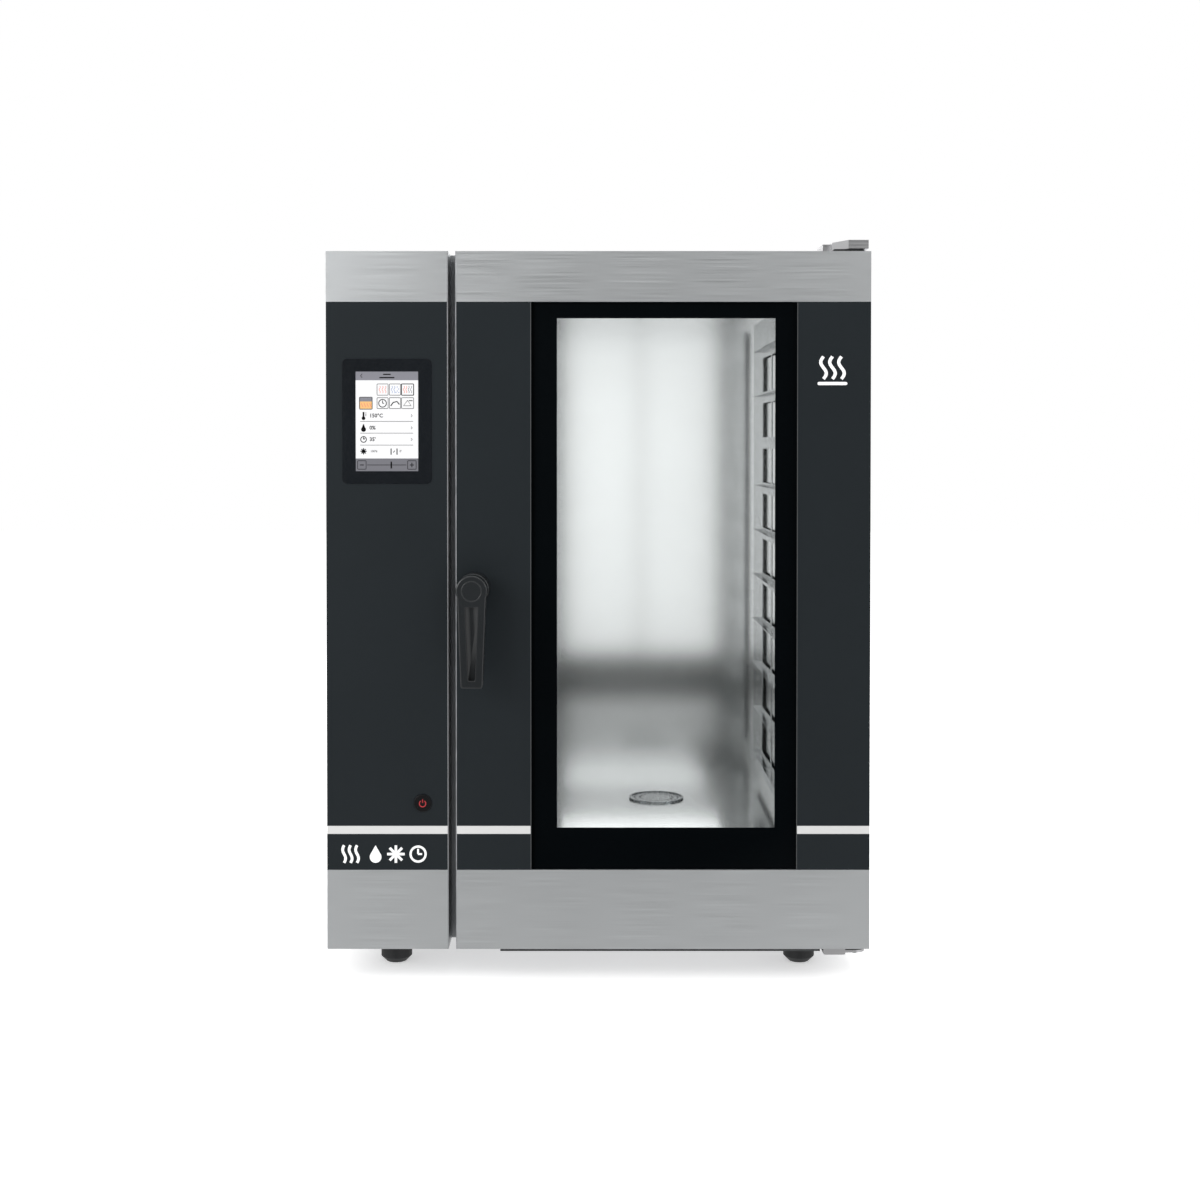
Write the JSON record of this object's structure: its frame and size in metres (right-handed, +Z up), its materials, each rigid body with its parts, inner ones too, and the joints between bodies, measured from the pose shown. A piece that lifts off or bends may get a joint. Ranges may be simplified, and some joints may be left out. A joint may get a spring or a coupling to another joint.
{
  "type": "combi steamer oven",
  "caption": "Free-standing hot-air and steam oven with a control column, a glazed side-hinged door, a turning lever handle and a tray cavity behind it",
  "frame": {"origin": "on the floor plane under the middle of the oven's overall box", "axes": "+Z up, the door faces -Y, +X to the right of someone facing the door"},
  "size_m": [0.88, 0.815, 1.205],
  "materials": {
    "brushed_steel": "fine horizontal brushing",
    "rear_steel": "plain mill sheet",
    "cavity_steel": "smooth satin",
    "frame_steel": "satin",
    "rack_steel": "polished",
    "drain_steel": "satin",
    "base_steel": "zinc-coated sheet",
    "dark_panel": "satin anthracite",
    "pale_stripe": "satin white",
    "clear_glass": "clear",
    "black_print": "gloss black print",
    "bezel_black": "gloss black",
    "screen": "lit display",
    "handle_black": "fine-grained black",
    "button_black": "black",
    "foot_rubber": "matt black",
    "gasket_rubber": "dark grey silicone",
    "hinge_steel": "satin",
    "pin_steel": "turned",
    "washer_dark": "dark bearing plastic",
    "brass": "turned",
    "mineral_wool": "pressed mineral wool",
    "fan_steel": "satin",
    "motor_paint": "dark blue enamel",
    "heater_sheath": "oxidised sheath",
    "pipe_steel": "satin",
    "circuit_board": "green board",
    "electrical_plastic": "light grey",
    "fan_plastic": "black"
  },
  "bodies": {
    "cabinet": {"column_trims": "brushed_steel", "left_side_panel": "brushed_steel", "right_side_panel": "brushed_steel", "top_cover": "brushed_steel", "column_shell": "brushed_steel", "rear_panel": "rear_steel", "cavity_liner": "cavity_steel", "fan_baffle": "cavity_steel", "baffle_fixings": "cavity_steel", "rack_hooks": "cavity_steel", "front_frame": "frame_steel", "rack_left": "rack_steel", "rack_right": "rack_steel", "drain_cover": "drain_steel", "drain_pipe": "drain_steel", "base_frame": "base_steel", "bottom_panel": "base_steel", "vent_box": "base_steel", "column_fascia": "dark_panel", "column_stripe": "pale_stripe", "display_bezel": "bezel_black", "display_screen": "screen", "foot_pads": "foot_rubber", "door_gasket": "gasket_rubber", "top_hinge_bracket": "hinge_steel", "bottom_hinge_bracket": "hinge_steel", "hinge_pins": "pin_steel", "foot_screws": "pin_steel", "hinge_washers": "washer_dark", "water_inlet": "brass", "insulation": "mineral_wool", "fan_motors": "motor_paint", "heater_elements": "heater_sheath", "vent_pipe": "pipe_steel", "steam_pipe": "pipe_steel", "control_board": "circuit_board", "contactors": "electrical_plastic", "vent_actuator": "electrical_plastic", "button_housing": "electrical_plastic", "cooling_fan_frame": "fan_plastic", "cable_gland": "fan_plastic"},
    "door": {"door_frame": "base_steel", "door_trims": "brushed_steel", "door_panels": "dark_panel", "door_stripes": "pale_stripe", "outer_glass": "clear_glass", "glass_border": "black_print", "inner_glass": "clear_glass", "door_inner_panel": "frame_steel", "door_drip_tray": "base_steel", "handle_rosette": "handle_black", "hinge_bushes": "brass"},
    "handle": {"door_handle": "handle_black", "handle_spindle": "pin_steel", "latch_bar": "pin_steel"},
    "upper_fan": {"upper_fan_wheel": "fan_steel"},
    "lower_fan": {"lower_fan_wheel": "fan_steel"},
    "cooling_fan": {"cooling_fan_rotor": "fan_plastic"},
    "button": {"power_button": "button_black"},
    "flap": {"vent_flap": "fan_steel"}
  },
  "joints": [
    {"name": "door_hinge", "type": "hinge", "parent": "cabinet", "child": "door", "pos_m": [0.42, -0.312, 0.6205], "axis": [0, 0, 1], "range_deg": [0, 130]},
    {"name": "handle_turn", "type": "hinge", "parent": "door", "child": "handle", "pos_m": [-0.2012, -0.35, 0.6418], "axis": [0, -1, 0], "range_deg": [0, 90]},
    {"name": "upper_fan_spin", "type": "hinge", "parent": "cabinet", "child": "upper_fan", "pos_m": [-0.15, 0.04, 0.9], "axis": [1, 0, 0], "continuous": true},
    {"name": "lower_fan_spin", "type": "hinge", "parent": "cabinet", "child": "lower_fan", "pos_m": [-0.15, 0.04, 0.452], "axis": [1, 0, 0], "continuous": true},
    {"name": "cooling_fan_spin", "type": "hinge", "parent": "cabinet", "child": "cooling_fan", "pos_m": [-0.34, 0.3675, 1], "axis": [0, 1, 0], "continuous": true},
    {"name": "power_button_press", "type": "slide", "parent": "cabinet", "child": "button", "axis": [0, 1, 0], "range_m": [0, 0.002], "stiffness_N_per_m": 500, "springref_m": -0.001},
    {"name": "vent_flap_turn", "type": "hinge", "parent": "cabinet", "child": "flap", "pos_m": [-0.208, -0.15, 1.178], "axis": [1, 0, 0], "range_deg": [0, 90]}
  ]
}
